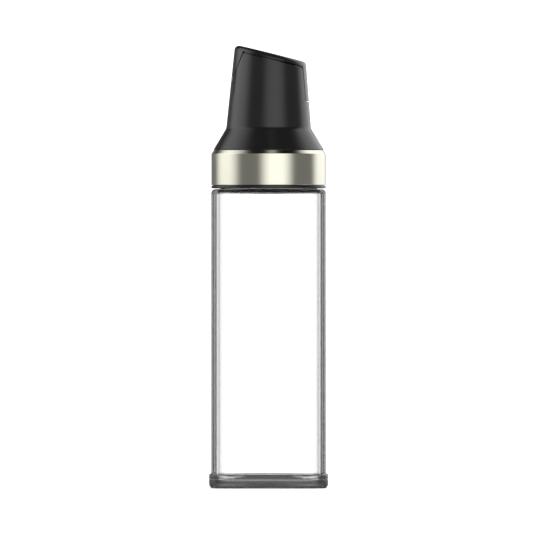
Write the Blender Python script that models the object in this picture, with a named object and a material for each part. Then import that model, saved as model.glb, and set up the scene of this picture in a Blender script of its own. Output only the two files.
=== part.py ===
# Oil dispenser bottle: square clear glass with a screw-on pouring head. The head's
# lid is a rocker: a steel weight in its tail swings inward when the bottle is
# tipped towards the spout, and that lifts the lid. Metres, +Z up, origin at the
# middle of the base. The spout points to -X, and the lid's hinge lies at +X.

import math

import bmesh
import bpy
from mathutils import Matrix, Vector

for leftover in list(bpy.data.objects):
    bpy.data.objects.remove(leftover, do_unlink=True)

# Clearances
face_gap = 0.0003
overrun = 0.0200
weld_distance = 0.000002

# Glass bottle
body_width = 0.0650
body_corner = 0.0080
glass_wall = 0.0032
foot_step = 0.00125
foot_height = 0.0078
heel_radius = 0.0030
foot_edge_radius = 0.0009
floor_thickness = 0.0080
floor_fillet = 0.0024
bearing_width = 0.0060
base_recess = 0.0012
shoulder_height = 0.1695
shoulder_edge_radius = 0.0023
shoulder_thickness = 0.0036
shoulder_inner_radius = 0.0045
neck_height = 0.0155
neck_wall = 0.0034
neck_root_radius = 0.0012
rim_edge_radius = 0.0009

# Stack on the rim: gasket, insert flange, cap flange, steel flange, shell
gasket_thickness = 0.0017
insert_flange = 0.0017
cap_flange = 0.0015
steel = 0.0006

# Screw cap
cap_wall = 0.0028
thread_room = 0.0018
throat_step = 0.0009
cap_shoulder_gap = 0.0007
lip_thickness = 0.0017
collar_step = 0.0004
collar_wall = 0.0018
collar_height = 0.0028
snap_bead = 0.0004
snap_bead_height = 0.0010

# Steel ring, flush with the glass
ring_bevel_width = 0.0013
ring_bevel_height = 0.0017

# Pourer shell: a cone that runs up into a tapered tower with a slanted top
cone_step = 0.0012
cone_height = 0.0130
waist_radius = 0.0240
waist_fillet = 0.0060
tower_taper = math.radians(5.18)
shell_wall = 0.0020
land_height = 0.0020
tower_height = 0.04175
top_slope = math.radians(13.92)
top_edge_radius = 0.0025

# Lid, and the openings in the shell that it closes
lid_band = 0.0031
lid_plate = 0.0018
notch_inset = 0.00578
notch_lean = math.radians(22.7)
lip_end_rise = 0.0016
corner_relief_radius = 0.0005
tail_width = 0.0168
tail_length = 0.01618
tail_end_gap = 0.0010
tail_corner = 0.0012

# Hinge
pin_inset = 0.00522
pin_depth = 0.0069
pin_radius = 0.0010
pin_cover = 0.00294
knuckle_radius = 0.0023
hinge_boss_radius = 0.0032
hinge_boss_depth = 0.0045
open_angle = math.radians(60)

# Counterweight in the tail
weight_radius = 0.0040
weight_length = 0.0132
box_wall = 0.0012
box_back_wall = 0.00246
cover_thickness = 0.0012

# Pour insert
plug_wall = 0.0013
plug_depth = 0.0080
duct_gap = 0.0004
duct_wall = 0.0014
duct_rim_gap = 0.0020
deck_drop = 0.0060
deck_thickness = 0.0014
pour_hole_margin = 0.00077
pour_hole_radius = 0.0042
return_hole_radius = 0.0011
return_hole_side = 0.0092
vent_radius = 0.0014
vent_wall = 0.0010
vent_inset = 0.0106
vent_length = 0.0065
stop_reach = 0.0040
stop_height = 0.0015
stop_width = 0.0090

# Silicone plug under the lid
seal_radius = 0.0052
seal_room = 0.0016
seal_thickness = 0.0016
seal_nose_depth = 0.0016
seal_nose_draft = 0.0005
seal_collar_wall = 0.0014
seal_collar_height = 0.0016
seal_boss_radius = 0.0026

# Facets
round_segments = 64
small_segments = 24
seal_segments = 32
corner_steps = 9
fillet_steps = 4
edge_steps = 3
smooth_angle = math.radians(32)
fillet_limit_share = 0.45

# Radii that follow: the ring is flush with the glass, and each piece fits in the next
ring_radius = body_width / 2
cap_bore_radius = ring_radius - steel - face_gap - cap_wall
collar_radius = cap_bore_radius - collar_step
neck_radius = cap_bore_radius - thread_room
mouth_radius = neck_radius - neck_wall
cap_throat_radius = mouth_radius + throat_step
cone_base_radius = ring_radius - cone_step

# Heights that follow, from the shoulder to the top
half_gap = face_gap / 2
rim_height = shoulder_height + neck_height
gasket_bottom = rim_height + face_gap
flange_bottom = gasket_bottom + gasket_thickness + face_gap
flange_top = flange_bottom + insert_flange
cap_flange_bottom = flange_top + face_gap
cap_top = cap_flange_bottom + cap_flange
ring_top = cap_top + face_gap + steel
shell_bottom = ring_top + face_gap
cap_bottom = shoulder_height + cap_shoulder_gap
lip_top = cap_bottom + lip_thickness
waist_height = shell_bottom + cone_height
top_height = waist_height + tower_height
deck_depth = lid_band + deck_drop
cut_reach = cone_base_radius + overrun
high = top_height + overrun


def plane_height(depth, x):
    # Height at x of the plane that lies this deep, square to it, under the lid's top.
    return top_height - depth / math.cos(top_slope) - x * math.tan(top_slope)


def tower_radius(height, inset=0):
    return waist_radius - (height - waist_height) * math.tan(tower_taper) - inset


def plane_radius(depth, inset, facing):
    # How far from the axis that plane meets the tower's face, moved in by inset.
    # Facing is -1 at the front of the tower and 1 at the back.
    on_axis = tower_radius(plane_height(depth, 0), inset)
    return on_axis / (1 - facing * math.tan(tower_taper) * math.tan(top_slope))


notch_offset = plane_radius(lid_band, notch_inset, -1)
pin_offset = plane_radius(pin_depth, pin_inset, 1)
pin_height = plane_height(pin_depth, pin_offset)
pin_length = 2 * (math.sqrt(tower_radius(pin_height) ** 2 - pin_offset ** 2) - pin_cover)
hinge_point = Vector((pin_offset, 0, pin_height))


def front_cut(height, shift):
    # x of the steep cut behind the lid's front lip, moved square to it by shift.
    notch_height = plane_height(lid_band, -notch_offset)
    return -notch_offset + (height - notch_height) * math.tan(notch_lean) + shift / math.cos(notch_lean)


def front_corner(depth, shift):
    # Where the plane at this depth meets the steep front cut.
    rise = math.tan(notch_lean)
    fall = math.tan(top_slope)
    x = front_cut(plane_height(depth, 0), shift) / (1 + rise * fall)
    return x, plane_height(depth, x)


def front_foot():
    # Height at which the steep front cut reaches the front of the tower.
    rise = math.tan(notch_lean)
    narrowing = math.tan(tower_taper)
    return (-tower_radius(0) - front_cut(0, 0)) / (rise - narrowing)


def turned_open(x, z):
    # Where a point of the lid lies once the lid is fully open.
    swing = Matrix.Rotation(open_angle, 3, "Y")
    place = swing @ (Vector((x, 0, z)) - hinge_point) + hinge_point
    return place.x, place.z


# The weight box, from the tail inwards
tail_end_height = pin_height - tail_length
pocket_height = 2 * (weight_radius + face_gap)
pocket_width = weight_length + 2 * face_gap
box_bottom = tail_end_height + face_gap
box_top = box_bottom + pocket_height + 2 * box_wall
box_half = pocket_width / 2 + box_wall
pocket_back = tower_radius(box_top) - box_back_wall
weight_height = (box_bottom + box_top) / 2
weight_offset = pocket_back - face_gap - weight_radius
box_front = weight_offset - weight_radius - face_gap - cover_thickness

# The pour hole behind the front cut, and the duct's back wall behind the seal
lip_end = front_foot() + lip_end_rise
pour_hole_x = front_corner(deck_depth, duct_wall)[0] + pour_hole_margin + pour_hole_radius
duct_inner_back = pour_hole_x + seal_radius + seal_room
duct_back = duct_inner_back + duct_wall
vent_x = mouth_radius - vent_inset


# Outlines: lists of (across, up) corners, each with the radius that rounds it

def corner_arc(before, corner, after, radius, steps):
    to_before = before - corner
    to_after = after - corner
    half_angle = to_before.angle(to_after) / 2
    longest = min(to_before.length, to_after.length) * fillet_limit_share
    reach = min(radius / math.tan(half_angle), longest)
    radius = reach * math.tan(half_angle)
    middle = (to_before.normalized() + to_after.normalized()).normalized()
    centre = corner + middle * (radius / math.sin(half_angle))
    start = corner + to_before.normalized() * reach - centre
    end = corner + to_after.normalized() * reach - centre
    sweep = start.angle(end)
    points = []
    for step in range(steps + 1):
        share = step / steps
        first = start * math.sin((1 - share) * sweep)
        last = end * math.sin(share * sweep)
        points.append(centre + (first + last) / math.sin(sweep))
    return points


def rounded(corners, closed=True, steps=edge_steps):
    # Each corner is (across, up, radius) or (across, up, radius, tag); a tag is passed on.
    points = []
    count = len(corners)
    for index, (across, up, radius, *tag) in enumerate(corners):
        corner = Vector((across, up))
        at_end = not closed and index in (0, count - 1)
        if radius == 0 or at_end:
            points.append((across, up, *tag))
            continue
        before = Vector(corners[index - 1][:2])
        after = Vector(corners[(index + 1) % count][:2])
        for point in corner_arc(before, corner, after, radius, steps):
            points.append((point.x, point.y, *tag))
    return points


def inset_line(points, distance):
    # The open line moved to its left by this distance, with mitred corners.
    line = [Vector(point) for point in points]
    normals = []
    for start, end in zip(line, line[1:]):
        along = (end - start).normalized()
        normals.append(Vector((-along.y, along.x)))
    moved = [line[0] + normals[0] * distance]
    for point, left, right in zip(line[1:-1], normals, normals[1:]):
        moved.append(point + (left + right) * (distance / (1 + left.dot(right))))
    moved.append(line[-1] + normals[-1] * distance)
    return [(point.x, point.y) for point in moved]


# Solids

def skin(rings, closed=False):
    # Faces between rings of equal count; a ring of one point is a pole.
    mesh = bmesh.new()
    rows = [[mesh.verts.new(point) for point in ring] for ring in rings]
    pairs = list(zip(rows, rows[1:]))
    if closed:
        pairs.append((rows[-1], rows[0]))
    for lower, upper in pairs:
        count = max(len(lower), len(upper))
        for index in range(count):
            after = (index + 1) % count
            corners = [lower[index % len(lower)]]
            if len(lower) > 1:
                corners.append(lower[after])
            if len(upper) > 1:
                corners.append(upper[after])
            corners.append(upper[index % len(upper)])
            mesh.faces.new(corners)
    if not closed:
        for end in (rows[0], rows[-1]):
            if len(end) > 1:
                mesh.faces.new(end)
    bmesh.ops.recalc_face_normals(mesh, faces=mesh.faces)
    return mesh


def circle(radius, height, segments):
    if radius == 0:
        return [Vector((0, 0, height))]
    ring = []
    for index in range(segments):
        angle = 2 * math.pi * (index + 0.5) / segments
        ring.append(Vector((radius * math.cos(angle), radius * math.sin(angle), height)))
    return ring


def turned(outline, segments=round_segments, closed=True):
    return skin([circle(r, z, segments) for r, z in outline], closed)


def rod(radius, low, high_end, segments=small_segments):
    # A round bar on the Z axis.
    return skin([circle(radius, low, segments), circle(radius, high_end, segments)])


def prism(outline, low, high_end, axis):
    # The outline drawn square to the axis, run from low to high_end along it.
    rings = []
    for place in (low, high_end):
        if axis == "X":
            rings.append([Vector((place, point[0], point[1])) for point in outline])
        else:
            rings.append([Vector((point[0], place, point[1])) for point in outline])
    return skin(rings)


def make_object(name, mesh, origin=None):
    origin = origin or Vector((0, 0, 0))
    bmesh.ops.translate(mesh, verts=mesh.verts, vec=-origin)
    data = bpy.data.meshes.new(name)
    mesh.to_mesh(data)
    mesh.free()
    made = bpy.data.objects.new(name, data)
    made.location = origin
    bpy.context.scene.collection.objects.link(made)
    return made


def combine(target, operation, mesh):
    # One Boolean step between an object and a solid in world coordinates.
    tool = make_object(f"{target.name}_tool", mesh)
    modifier = target.modifiers.new(operation.lower(), "BOOLEAN")
    modifier.operation = operation
    modifier.solver = "EXACT"
    modifier.object = tool
    bpy.context.view_layer.update()
    graph = bpy.context.evaluated_depsgraph_get()
    result = bpy.data.meshes.new_from_object(target.evaluated_get(graph))
    welded = bmesh.new()
    welded.from_mesh(result)
    bmesh.ops.remove_doubles(welded, verts=welded.verts, dist=weld_distance)
    welded.to_mesh(result)
    welded.free()
    target.modifiers.clear()
    target.data = result
    bpy.data.objects.remove(tool, do_unlink=True)
    return target


def mesh_of(target):
    # The object's solid in world coordinates, taken back as a loose mesh.
    mesh = bmesh.new()
    mesh.from_mesh(target.data)
    bmesh.ops.translate(mesh, verts=mesh.verts, vec=target.location)
    bpy.data.objects.remove(target, do_unlink=True)
    return mesh


def finish(part, colour, roughness, metallic=0, transmission=0):
    material = bpy.data.materials.new(part.name)
    material.use_nodes = True
    shader = material.node_tree.nodes["Principled BSDF"]
    shader.inputs["Base Color"].default_value = (*colour, 1)
    shader.inputs["Roughness"].default_value = roughness
    shader.inputs["Metallic"].default_value = metallic
    shader.inputs["Transmission Weight"].default_value = transmission
    part.data.materials.clear()
    part.data.materials.append(material)
    part.data.shade_smooth()
    part.data.set_sharp_from_angle(angle=smooth_angle)
    return part


# Glass bottle

def square_ring(half, height, roundness):
    # A rounded square that turns into a circle as roundness goes from 0 to 1. Its
    # corners share their centres with the body's, so that walls keep one thickness.
    corner = max(body_corner + half - body_width / 2, 0)
    corner = corner + (half - corner) * roundness
    centre = half - corner
    ring = []
    for quarter in range(4):
        turn = Matrix.Rotation(quarter * math.pi / 2, 3, "Z")
        for step in range(corner_steps + 1):
            angle = math.pi / 2 * (step + roundness / 2) / (corner_steps + roundness)
            point = Vector((centre + corner * math.cos(angle), centre + corner * math.sin(angle), height))
            ring.append(turn @ point)
    return ring


def glass_bottle():
    body_half = body_width / 2
    foot_half = body_half + foot_step
    inner_half = body_half - glass_wall
    recess_half = foot_half - bearing_width
    inner_shoulder = shoulder_height - shoulder_thickness
    # Up the outside, over the rim and down the inside: (half width, height, fillet, roundness)
    corners = [
        (recess_half - base_recess, base_recess, 0, 0),
        (recess_half, 0, base_recess, 0),
        (foot_half, 0, heel_radius, 0),
        (foot_half, foot_height, foot_edge_radius, 0),
        (body_half, foot_height, foot_edge_radius, 0),
        (body_half, shoulder_height, shoulder_edge_radius, 0),
        (neck_radius, shoulder_height, neck_root_radius, 1),
        (neck_radius, rim_height, rim_edge_radius, 1),
        (mouth_radius, rim_height, rim_edge_radius, 1),
        (mouth_radius, inner_shoulder, shoulder_edge_radius, 1),
        (inner_half, inner_shoulder, shoulder_inner_radius, 0),
        (inner_half, floor_thickness, floor_fillet, 0),
        (recess_half - base_recess, floor_thickness, 0, 0),
    ]
    rings = [square_ring(*point) for point in rounded(corners, closed=False, steps=fillet_steps)]
    bottle = make_object("glass_bottle", skin(rings))
    return finish(bottle, (0.90, 0.94, 0.93), 0.03, transmission=1)


# Gasket, cap and ring

def neck_gasket():
    top = gasket_bottom + gasket_thickness
    outline = [
        (mouth_radius, gasket_bottom),
        (neck_radius, gasket_bottom),
        (neck_radius, top),
        (mouth_radius, top),
    ]
    gasket = make_object("neck_gasket", turned(outline))
    return finish(gasket, (0.80, 0.81, 0.80), 0.55)


def bevel_line(radius, top, inner_radius, bottom):
    # The ring's outer line: up the wall, over the bevelled edge, in along the top.
    return [
        (radius, bottom),
        (radius, top - ring_bevel_height),
        (radius - ring_bevel_width, top),
        (inner_radius, top),
    ]


def screw_cap():
    # The cap fills the ring, one gap inside it, bevelled edge included.
    inside_ring = inset_line(
        bevel_line(ring_radius, ring_top, collar_radius, lip_top), steel + face_gap
    )
    bead_foot = shell_bottom + face_gap
    bead_middle = bead_foot + snap_bead_height / 2
    collar_inner = collar_radius - collar_wall
    outline = [
        (cap_bore_radius, cap_bottom),
        (ring_radius, cap_bottom),
        (ring_radius, lip_top),
        (inside_ring[0][0], lip_top),
        inside_ring[1],
        inside_ring[2],
        (collar_radius, cap_top),
        (collar_radius, bead_foot),
        (collar_radius + snap_bead, bead_middle),
        (collar_radius, bead_foot + snap_bead_height),
        (collar_radius, cap_top + collar_height),
        (collar_inner, cap_top + collar_height),
        (collar_inner, cap_top),
        (cap_throat_radius, cap_top),
        (cap_throat_radius, cap_flange_bottom),
        (cap_bore_radius, cap_flange_bottom),
    ]
    cap = make_object("screw_cap", turned(outline))
    return finish(cap, (0.020, 0.020, 0.021), 0.42)


def steel_ring():
    inner = collar_radius + snap_bead + face_gap
    outside = bevel_line(ring_radius, ring_top, inner, lip_top + face_gap)
    inside = inset_line(outside, steel)
    ring = make_object("steel_ring", turned(outside + inside[::-1]))
    return finish(ring, (0.72, 0.71, 0.67), 0.24, metallic=1)


# Head form: the cone and tower that the shell and the lid share

def slanted_rings(inset, depth, edge_radius):
    # The tower's slanted upper edge, rounded in each upright plane through the axis.
    columns = []
    for start in circle(1, 0, round_segments):
        fall = start.x * math.tan(top_slope)
        narrowing = math.tan(tower_taper)
        radius = plane_radius(depth, inset, start.x)
        corner = Vector((radius, plane_height(depth, 0) - radius * fall))
        below = corner + Vector((narrowing, -1)) * lid_band * 3
        inward = corner + Vector((-1, fall)) * lid_band * 3
        if edge_radius:
            arc = corner_arc(below, corner, inward, edge_radius, fillet_steps)
        else:
            arc = [corner]
        columns.append([Vector((start.x * point.x, start.y * point.x, point.y)) for point in arc])
    return [list(ring) for ring in zip(*columns)]


def head_form():
    cone_line = [
        (cone_base_radius, shell_bottom, 0),
        (waist_radius, waist_height, waist_fillet),
        (tower_radius(tail_end_height), tail_end_height, 0),
    ]
    rings = []
    for radius, height in rounded(cone_line, closed=False, steps=fillet_steps):
        rings.append(circle(radius, height, round_segments))
    return skin(rings + slanted_rings(0, 0, top_edge_radius))


def tower_core(inset, low, depth=None):
    # The tower's inside, this far in from its face, up to a depth under the lid's
    # top, or right through the top.
    foot = [circle(tower_radius(low, inset), low, round_segments)]
    if depth is None:
        top = high + overrun
        return skin(foot + [circle(tower_radius(top, inset), top, round_segments)])
    return skin(foot + slanted_rings(inset, depth, 0))


def lid_outline(side):
    # Side view of what the lid takes from the head form: side -1 is the lid's own
    # edge, side 1 the edge of the shell, and the gap lies between them.
    depth = lid_band + side * half_gap
    shift = side * half_gap
    end = lip_end - (1 + side) * half_gap
    return [
        (cut_reach, plane_height(depth, cut_reach)),
        front_corner(depth, shift),
        (front_cut(end, shift), end),
        (-cut_reach, end),
        (-cut_reach, high),
        (cut_reach, high),
    ]


def tail_strip(side_gap, end_gap, inner_radius):
    # From inside the wall, this far in front of the hinge axis, right out of the back.
    half = tail_width / 2 + side_gap
    end = tail_end_height - end_gap
    radius = tail_corner + side_gap
    top = top_height
    outline = rounded([(-half, top, 0), (-half, end, radius), (half, end, radius), (half, top, 0)])
    return prism(outline, pin_offset - inner_radius, cut_reach, "X")


def pin_bar(radius, low, high_end):
    # A round bar on the hinge axis, from low to high_end along Y.
    bar = rod(radius, -high_end, -low)
    bmesh.ops.rotate(bar, verts=bar.verts, matrix=Matrix.Rotation(math.pi / 2, 3, "X"))
    bmesh.ops.translate(bar, verts=bar.verts, vec=hinge_point)
    return bar


def pin_bore():
    # Blind at the -Y side, open at the +Y side, where the pin goes in.
    return pin_bar(pin_radius + face_gap, -pin_length / 2 - face_gap, cut_reach)


# Pourer shell

def shell_cavity():
    # Land for the cap's collar with the snap groove, then one wall inside the form.
    land_radius = collar_radius + face_gap
    groove_foot = shell_bottom + face_gap
    groove_middle = groove_foot + snap_bead_height / 2
    land_top = shell_bottom + land_height
    lean = Vector((waist_height - shell_bottom, cone_base_radius - waist_radius)).normalized()
    side_wall = shell_wall / lean.x
    slope = (cone_base_radius - waist_radius) / (waist_height - shell_bottom)
    outline = [
        (land_radius, shell_bottom - overrun, 0),
        (land_radius, groove_foot, 0),
        (land_radius + snap_bead, groove_middle, 0),
        (land_radius, groove_foot + snap_bead_height, 0),
        (land_radius, land_top, 0),
        (cone_base_radius - slope * land_height - side_wall, land_top, 0),
        (tower_radius(waist_height, shell_wall), waist_height, waist_fillet + shell_wall),
        (tower_radius(high, shell_wall), high, 0),
    ]
    return turned(rounded(outline, closed=False, steps=fillet_steps), closed=False)


def hinge_boss():
    # A round bar inside the wall. The tail's slot leaves a boss on each side for the pin.
    reach = tail_width / 2 + face_gap + hinge_boss_depth
    boss = make_object("boss", pin_bar(hinge_boss_radius, -reach, reach))
    combine(boss, "INTERSECT", tower_core(shell_wall / 2, waist_height, lid_band + shell_wall / 2))
    return mesh_of(boss)


def rim_relief():
    # Behind the pin the rim falls away on an arc about the hinge, clear of the lid.
    radius = pin_depth - lid_band - half_gap
    arc = []
    for step in range(fillet_steps + 1):
        angle = top_slope + (math.pi / 2 - top_slope) * step / fillet_steps
        arc.append((pin_offset + radius * math.sin(angle), pin_height + radius * math.cos(angle)))
    # The arc's first chord runs on past the rim, so that it crosses the rim cleanly.
    start = 2 * Vector(arc[0]) - Vector(arc[1])
    outline = [tuple(start)] + arc[1:] + [(cut_reach, arc[-1][1]), (cut_reach, high), (start.x, high)]
    return prism(outline, -cut_reach, cut_reach, "Y")


def corner_relief():
    # A small round hole where the lid's gap turns down into the front cut.
    x, z = front_corner(lid_band, 0)
    bar = pin_bar(corner_relief_radius, -cut_reach, cut_reach)
    bmesh.ops.translate(bar, verts=bar.verts, vec=Vector((x, 0, z)) - hinge_point)
    return bar


def pourer_shell():
    shell = make_object("pourer_shell", head_form())
    combine(shell, "DIFFERENCE", shell_cavity())
    combine(shell, "UNION", hinge_boss())
    combine(shell, "DIFFERENCE", prism(lid_outline(1), -cut_reach, cut_reach, "Y"))
    combine(shell, "DIFFERENCE", tail_strip(face_gap, tail_end_gap, hinge_boss_radius + face_gap))
    combine(shell, "DIFFERENCE", rim_relief())
    combine(shell, "DIFFERENCE", corner_relief())
    combine(shell, "DIFFERENCE", pin_bore())
    return finish(shell, (0.022, 0.022, 0.023), 0.38)


# Pour insert

def on_deck(x, y):
    # A frame on the deck at this x and y, whose Z is square to the lid's top.
    place = Matrix.Translation((x, y, plane_height(deck_depth, x)))
    return place @ Matrix.Rotation(top_slope, 4, "Y")


def deck_rod(radius, x, y, low, high_end):
    # A round bar square to the deck, between two heights over it.
    bar = rod(radius, low, high_end)
    bmesh.ops.transform(bar, verts=bar.verts, matrix=on_deck(x, y))
    return bar


def duct_piece(inset, outline):
    # The part of the tower's inside that lies in this side view. It also clears the
    # cap's throat, which the duct passes through.
    piece = make_object("duct", tower_core(inset, cap_bottom))
    throat = cap_throat_radius - (inset - shell_wall)
    combine(piece, "INTERSECT", rod(throat, cap_bottom, high + overrun, round_segments))
    combine(piece, "INTERSECT", prism(outline, -cut_reach, cut_reach, "Y"))
    return mesh_of(piece)


def duct_outline(back, low, top_depth, front_shift):
    # Side view of the duct: upright at the back, slanted on top, steep in front.
    return [
        (front_cut(low, front_shift), low),
        (back, low),
        (back, plane_height(top_depth, back)),
        front_corner(top_depth, front_shift),
    ]


def bowl_outline(back):
    # Side view of the space over the deck.
    return [
        (-cut_reach, plane_height(deck_depth, -cut_reach)),
        (back, plane_height(deck_depth, back)),
        (back, high),
        (-cut_reach, high),
    ]


def stop_rib():
    # The weight box comes to rest against this gusset when the lid is fully open.
    corner = Vector(turned_open(box_front, box_bottom))
    along = Vector(turned_open(box_front, box_bottom + box_wall)) - corner
    along.normalize()
    face = corner + Vector((-along.y, along.x)) * face_gap
    back = duct_back - duct_wall / 2
    start = face + along * ((back - face.x) / along.x)
    tip = start + along * stop_reach
    outline = [tuple(start), tuple(tip), (back, tip.y + stop_height)]
    return prism(outline, -stop_width / 2, stop_width / 2, "Y")


def plug_outline():
    # Half section of the flange on the rim and the plug in the neck.
    plug_radius = mouth_radius - face_gap
    flange_radius = cap_bore_radius - face_gap
    plug_bottom = flange_bottom - plug_depth
    return [
        (0, flange_top),
        (flange_radius, flange_top),
        (flange_radius, flange_bottom),
        (plug_radius, flange_bottom),
        (plug_radius, plug_bottom),
        (plug_radius - plug_wall, plug_bottom),
        (plug_radius - plug_wall, flange_bottom),
        (0, flange_bottom),
    ]


def vent_rod(radius, low, high_end):
    bar = rod(radius, low, high_end)
    bmesh.ops.translate(bar, verts=bar.verts, vec=(vent_x, 0, 0))
    return bar


def pour_insert():
    outer = shell_wall + duct_gap
    inner = outer + duct_wall
    flange_middle = (flange_bottom + flange_top) / 2
    through = deck_thickness * 2
    insert = make_object("pour_insert", turned(plug_outline(), closed=False))
    duct = duct_outline(duct_back, flange_middle, lid_band + duct_rim_gap, half_gap)
    combine(insert, "UNION", duct_piece(outer, duct))
    channel_top = deck_depth + deck_thickness
    channel = duct_outline(duct_inner_back, flange_bottom - face_gap, channel_top, duct_wall)
    combine(insert, "DIFFERENCE", duct_piece(inner, channel))
    combine(insert, "DIFFERENCE", duct_piece(inner, bowl_outline(duct_inner_back)))
    combine(insert, "DIFFERENCE", deck_rod(pour_hole_radius, pour_hole_x, 0, -through, through))
    return_x = duct_inner_back - 2 * return_hole_radius
    return_hole = deck_rod(return_hole_radius, return_x, return_hole_side, -through, through)
    combine(insert, "DIFFERENCE", return_hole)
    vent_low = flange_bottom - vent_length
    combine(insert, "UNION", vent_rod(vent_radius + vent_wall, vent_low, flange_middle))
    combine(insert, "DIFFERENCE", vent_rod(vent_radius, vent_low - overrun, flange_top + overrun))
    combine(insert, "UNION", stop_rib())
    return finish(insert, (0.030, 0.030, 0.032), 0.45)


# Lid with its seal, weight and cover

def block(x_low, x_high, half, z_low, z_high):
    outline = [(x_low, z_low), (x_high, z_low), (x_high, z_high), (x_low, z_high)]
    return prism(outline, -half, half, "Y")


def lid_inside(x_low, half, z_low, z_high):
    # A block that grows out of the middle of the tail's wall towards the axis.
    piece = make_object("inside", block(x_low, cut_reach, half, z_low, z_high))
    combine(piece, "INTERSECT", tower_core(shell_wall / 2, waist_height, lid_plate / 2))
    return mesh_of(piece)


def flip_lid():
    lid = make_object("flip_lid", prism(lid_outline(-1), -cut_reach, cut_reach, "Y"), hinge_point)
    combine(lid, "UNION", tail_strip(0, 0, knuckle_radius))
    combine(lid, "INTERSECT", head_form())
    combine(lid, "DIFFERENCE", tower_core(shell_wall, waist_height, lid_plate))
    half = tail_width / 2
    combine(lid, "UNION", pin_bar(knuckle_radius, -half, half))
    combine(lid, "UNION", lid_inside(pin_offset - knuckle_radius / 2, half, pin_height, high))
    combine(lid, "UNION", lid_inside(box_front, box_half, box_bottom, box_top))
    boss_end = face_gap + seal_thickness + face_gap
    boss_root = deck_depth - lid_plate / 2
    combine(lid, "UNION", deck_rod(seal_boss_radius, pour_hole_x, 0, boss_end, boss_root))
    pocket_low = box_bottom + box_wall
    pocket_high = box_top - box_wall
    pocket = block(box_front - overrun, pocket_back, pocket_width / 2, pocket_low, pocket_high)
    combine(lid, "DIFFERENCE", pocket)
    combine(lid, "DIFFERENCE", pin_bore())
    return finish(lid, (0.022, 0.022, 0.023), 0.36)


def lid_seal():
    # Heights are over the deck, along the square to the lid's top.
    nose_low = -seal_nose_depth
    disc_low = face_gap
    disc_top = disc_low + seal_thickness
    collar_inner = seal_boss_radius + face_gap
    collar_outer = collar_inner + seal_collar_wall
    nose = pour_hole_radius - face_gap
    outline = [
        (0, nose_low),
        (nose - seal_nose_draft, nose_low),
        (nose, disc_low),
        (seal_radius, disc_low),
        (seal_radius, disc_top),
        (collar_outer, disc_top),
        (collar_outer, disc_top + seal_collar_height),
        (collar_inner, disc_top + seal_collar_height),
        (collar_inner, disc_top),
        (0, disc_top),
    ]
    mesh = turned(outline, seal_segments, closed=False)
    bmesh.ops.transform(mesh, verts=mesh.verts, matrix=on_deck(pour_hole_x, 0))
    seal = make_object("lid_seal", mesh, hinge_point)
    return finish(seal, (0.55, 0.55, 0.54), 0.6)


def counterweight():
    mesh = pin_bar(weight_radius, -weight_length / 2, weight_length / 2)
    shift = Vector((weight_offset, 0, weight_height)) - hinge_point
    bmesh.ops.translate(mesh, verts=mesh.verts, vec=shift)
    weight = make_object("counterweight", mesh, hinge_point)
    return finish(weight, (0.55, 0.56, 0.57), 0.35, metallic=1)


def weight_cover():
    half_height = pocket_height / 2 - face_gap
    half_width = pocket_width / 2 - face_gap
    low = weight_height - half_height
    mesh = block(box_front, box_front + cover_thickness, half_width, low, low + 2 * half_height)
    cover = make_object("weight_cover", mesh, hinge_point)
    return finish(cover, (0.024, 0.024, 0.025), 0.45)


def hinge_pin():
    pin = make_object("hinge_pin", pin_bar(pin_radius, -pin_length / 2, pin_length / 2), hinge_point)
    return finish(pin, (0.60, 0.60, 0.60), 0.25, metallic=1)


glass_bottle()
neck_gasket()
screw_cap()
steel_ring()
pourer_shell()
pour_insert()
hinge_pin()
flip_lid()
lid_seal()
counterweight()
weight_cover()
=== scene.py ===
# Looks of the oil dispenser bottle: clear pressed glass, satin steel ring, black
# moulded head with its tipping lid. Metres, +Z up, the spout points to -X.

import math

import bmesh
import bpy
from mathutils import Matrix, Vector


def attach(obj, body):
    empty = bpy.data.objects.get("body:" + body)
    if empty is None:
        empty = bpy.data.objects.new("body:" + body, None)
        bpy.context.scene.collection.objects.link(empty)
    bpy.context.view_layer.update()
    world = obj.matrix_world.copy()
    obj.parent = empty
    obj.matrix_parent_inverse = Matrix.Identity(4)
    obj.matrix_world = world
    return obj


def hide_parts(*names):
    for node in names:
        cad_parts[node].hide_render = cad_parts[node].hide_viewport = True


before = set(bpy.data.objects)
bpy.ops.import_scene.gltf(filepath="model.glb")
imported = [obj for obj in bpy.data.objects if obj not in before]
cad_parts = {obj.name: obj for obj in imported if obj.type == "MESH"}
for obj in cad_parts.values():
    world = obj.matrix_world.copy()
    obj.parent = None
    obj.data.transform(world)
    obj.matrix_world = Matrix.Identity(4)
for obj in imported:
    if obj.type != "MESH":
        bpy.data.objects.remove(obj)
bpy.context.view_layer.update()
print("frame loaded:", len(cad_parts), "nodes")

gap = 0.0003  # between neighbouring pieces
overrun = 0.020  # how far cutting shapes run past what they cut
weldDistance = 0.000002
supportReach = 0.0003  # extra points beside a rounding, so that flats stay flat
fineSupport = 0.0001  # the same beside the small roundings of the cap and the ring
supportRoom = 3  # a flat gets an extra point where it is longer than this many reaches
longestArc = 0.45  # of the shorter line at a corner, so that two roundings never meet
sharpAngle = math.radians(32)  # edges sharper than this are shaded as edges
normalWeight = 60  # how strongly large faces hold the shading flat

# Segments round a turned form, and steps in a rounding
counts = {
    "turned": 192, "head": 128, "round": 96, "small": 48, "arc": 8, "head arc": 6, "waist arc": 10,
    "gasket arc": 5, "fine arc": 4, "bar arc": 3, "bottle corner": 20, "bottle middle": 12,
}


# Lines and solids

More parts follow.
